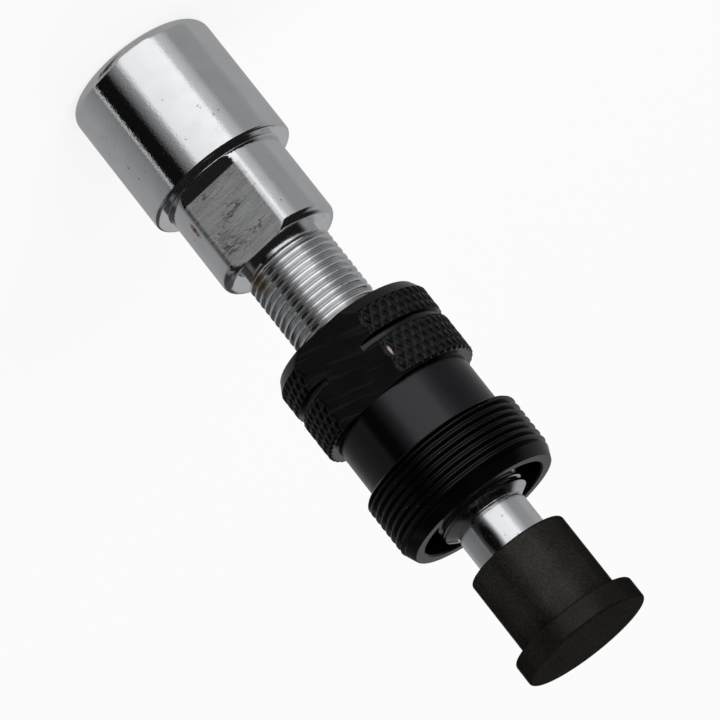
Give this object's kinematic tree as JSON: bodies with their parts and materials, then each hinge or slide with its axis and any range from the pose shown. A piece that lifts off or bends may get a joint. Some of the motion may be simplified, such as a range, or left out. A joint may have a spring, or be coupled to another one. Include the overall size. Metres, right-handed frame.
{
  "type": "bicycle crank puller",
  "caption": "Hand tool that pulls a bicycle crank off its axle: a chromed screw spindle with a socket head, a black threaded puller body with a knurled collar and a swivelling pusher cap.",
  "frame": {"origin": "centre of the socket head's rim, on the surface that the tool stands on", "axes": "+Z along the spindle, from the socket head to the pusher cap; the wrench flats face +Y and -Y"},
  "size_m": [0.022, 0.022, 0.0918],
  "materials": {
    "chrome_plate": "bright chrome plate with small pits",
    "black_steel": "semi-matte black, knurled collar, turned waist",
    "oxide_steel": "matt brown-black oxide",
    "ring_rubber": "matt black rubber"
  },
  "bodies": {
    "spindle": {"spindle": "chrome_plate"},
    "swivel_ring": {"retaining_ring": "ring_rubber"},
    "puller_body": {"puller_body": "black_steel"},
    "cap": {"pusher_cap": "oxide_steel"}
  },
  "joints": [
    {"name": "screw_turn", "type": "hinge", "parent": "spindle", "child": "swivel_ring", "pos_m": [0, 0, 0.05], "axis": [0, 0, 1], "range_deg": [-4644, 5472]},
    {"name": "screw_advance", "type": "slide", "parent": "swivel_ring", "child": "puller_body", "axis": [0, 0, 1], "range_m": [-0.0129, 0.0152]},
    {"name": "cap_pull", "type": "slide", "parent": "swivel_ring", "child": "cap", "axis": [0, 0, 1], "range_m": [0, 0.012]}
  ],
  "couplings": [
    {"joint": "screw_advance", "follows": "screw_turn", "m_per_rad": 0.00015915}
  ]
}
